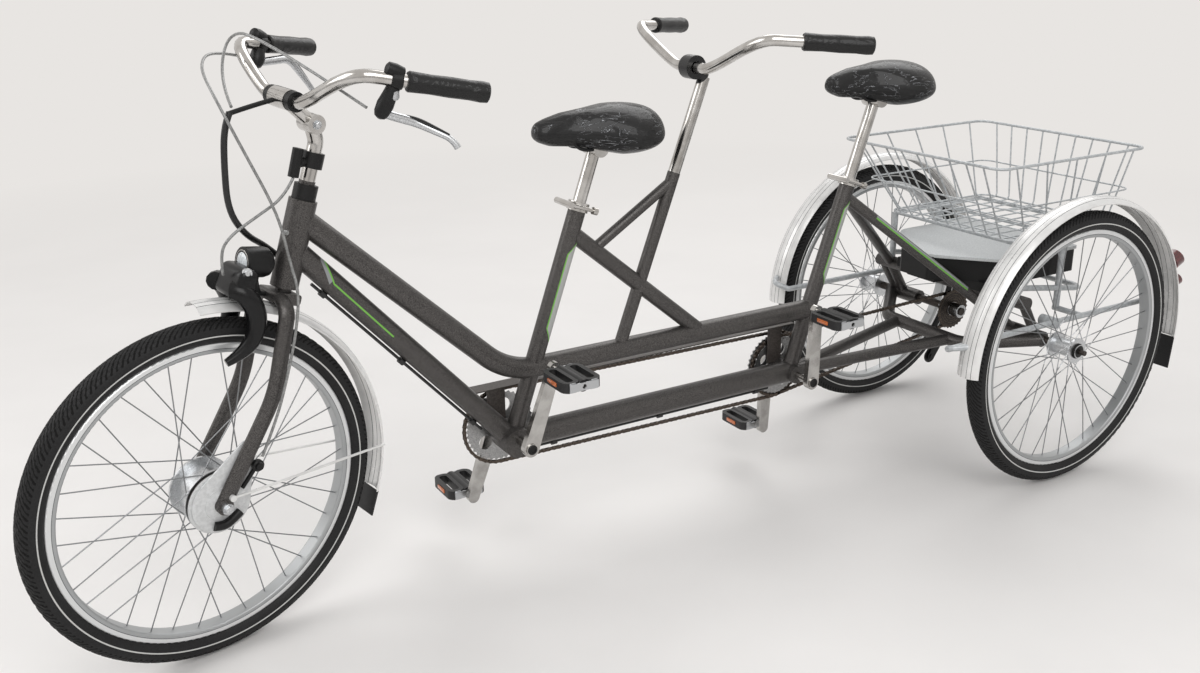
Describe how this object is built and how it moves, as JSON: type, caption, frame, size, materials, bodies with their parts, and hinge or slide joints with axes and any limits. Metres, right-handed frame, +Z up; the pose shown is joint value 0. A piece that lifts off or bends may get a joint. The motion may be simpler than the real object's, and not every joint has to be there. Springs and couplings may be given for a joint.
{
  "type": "tandem tricycle",
  "caption": "Tandem tricycle: steered front wheel, low tube frame, padded saddles, handlebars, linked cranks, and a wire basket between the rear wheels and their mudguards.",
  "frame": {"origin": "on the floor, under the middle of the vehicle's bounding box", "axes": "+X forward, +Y to the riders' left, +Z up"},
  "size_m": [2.5938, 0.742, 1.1123],
  "materials": {
    "frame_paint": "dark grey metallic lacquer",
    "silver": "brushed, bare",
    "chrome": "polished",
    "tyre": "black, fine tread",
    "black_plastic": "matt black",
    "black_rubber": "matt black",
    "saddle_cover": "black synthetic cover",
    "light_grey": "light grey lacquer",
    "mudguard": "satin silver",
    "chain_steel": "oiled",
    "cover_plastic": "light grey",
    "red_lens": "clear red"
  },
  "bodies": {
    "frame": {"axle_cover": "cover_plastic", "basket": "light_grey", "carrier": "light_grey", "chain_guard": "black_plastic", "cover_underside": "black_plastic", "derailleur": "black_plastic", "drive_chain": "chain_steel", "frame_front": "frame_paint", "frame_middle": "frame_paint", "frame_rear": "frame_paint", "front_saddle": "saddle_cover", "front_seatpost": "silver", "rear_lamps": "red_lens", "rear_mudflaps": "black_rubber", "rear_mudguard_left": "mudguard", "rear_mudguard_right": "mudguard", "rear_saddle": "saddle_cover", "rear_seatpost": "silver", "stoker_grips": "black_rubber", "stoker_handlebar": "chrome", "stoker_stem": "silver", "timing_chain": "chain_steel", "tube_hoses": "black_plastic"},
    "steering": {"fork": "frame_paint", "front_axle": "silver", "hub_brake": "silver", "front_mudguard": "mudguard", "headset_nut": "black_plastic", "stem": "silver", "front_handlebar": "chrome", "front_grips": "black_rubber", "brake_levers": "black_plastic", "headlamp": "chrome", "cable_wrap": "black_plastic", "ring_lock": "black_plastic", "front_mudflap": "black_rubber", "brake_cable": "black_plastic", "stem_clamp": "black_plastic", "bar_clamps": "black_plastic", "lever_cable": "black_plastic"},
    "front_wheel": {"front_wheel": "silver", "front_tyre": "tyre"},
    "rear_left_wheel": {"rear_wheel_left": "silver", "rear_tyre_left": "tyre", "rear_shaft_left": "silver"},
    "rear_right_wheel": {"rear_wheel_right": "silver", "rear_tyre_right": "tyre", "rear_shaft_right": "silver", "cassette": "chain_steel"},
    "front_crank": {"front_crankset": "silver", "front_chainring": "silver"},
    "rear_crank": {"rear_crankset": "silver", "rear_chainrings": "silver"},
    "front_left_pedal": {"front_pedal_left": "black_plastic"},
    "front_right_pedal": {"front_pedal_right": "black_plastic"},
    "rear_left_pedal": {"rear_pedal_left": "black_plastic"},
    "rear_right_pedal": {"rear_pedal_right": "black_plastic"}
  },
  "joints": [
    {"name": "steering", "type": "hinge", "parent": "frame", "child": "steering", "pos_m": [1.028, 0, 0], "axis": [-0.309, 0, 0.9511], "range_deg": [-58, 32], "deforming": ["cable_wrap"]},
    {"name": "front_wheel_spin", "type": "hinge", "parent": "steering", "child": "front_wheel", "pos_m": [0.98354, 0.01348, 0.32577], "axis": [-0.2139, 0.9744, -0.0695], "continuous": true},
    {"name": "rear_left_wheel_spin", "type": "hinge", "parent": "frame", "child": "rear_left_wheel", "pos_m": [-0.915, 0.328, 0.3265], "axis": [0, 1, 0], "continuous": true},
    {"name": "rear_right_wheel_spin", "type": "hinge", "parent": "frame", "child": "rear_right_wheel", "pos_m": [-0.915, -0.328, 0.3265], "axis": [0, 1, 0], "continuous": true},
    {"name": "rear_crank_spin", "type": "hinge", "parent": "frame", "child": "rear_crank", "pos_m": [-0.347, 0, 0.281], "axis": [0, 1, 0], "continuous": true},
    {"name": "front_crank_spin", "type": "hinge", "parent": "frame", "child": "front_crank", "pos_m": [0.375, 0, 0.29], "axis": [0, 1, 0], "continuous": true},
    {"name": "front_left_pedal_spin", "type": "hinge", "parent": "front_crank", "child": "front_left_pedal", "pos_m": [0.31686, 0.15, 0.44975], "axis": [0, 1, 0], "continuous": true},
    {"name": "front_right_pedal_spin", "type": "hinge", "parent": "front_crank", "child": "front_right_pedal", "pos_m": [0.43314, -0.15, 0.13025], "axis": [0, 1, 0], "continuous": true},
    {"name": "rear_left_pedal_spin", "type": "hinge", "parent": "rear_crank", "child": "rear_left_pedal", "pos_m": [-0.35293, 0.15, 0.4509], "axis": [0, 1, 0], "continuous": true},
    {"name": "rear_right_pedal_spin", "type": "hinge", "parent": "rear_crank", "child": "rear_right_pedal", "pos_m": [-0.34107, -0.15, 0.1111], "axis": [0, 1, 0], "continuous": true}
  ],
  "couplings": [
    {"joint": "front_crank_spin", "follows": "rear_crank_spin", "ratio": 1}
  ]
}
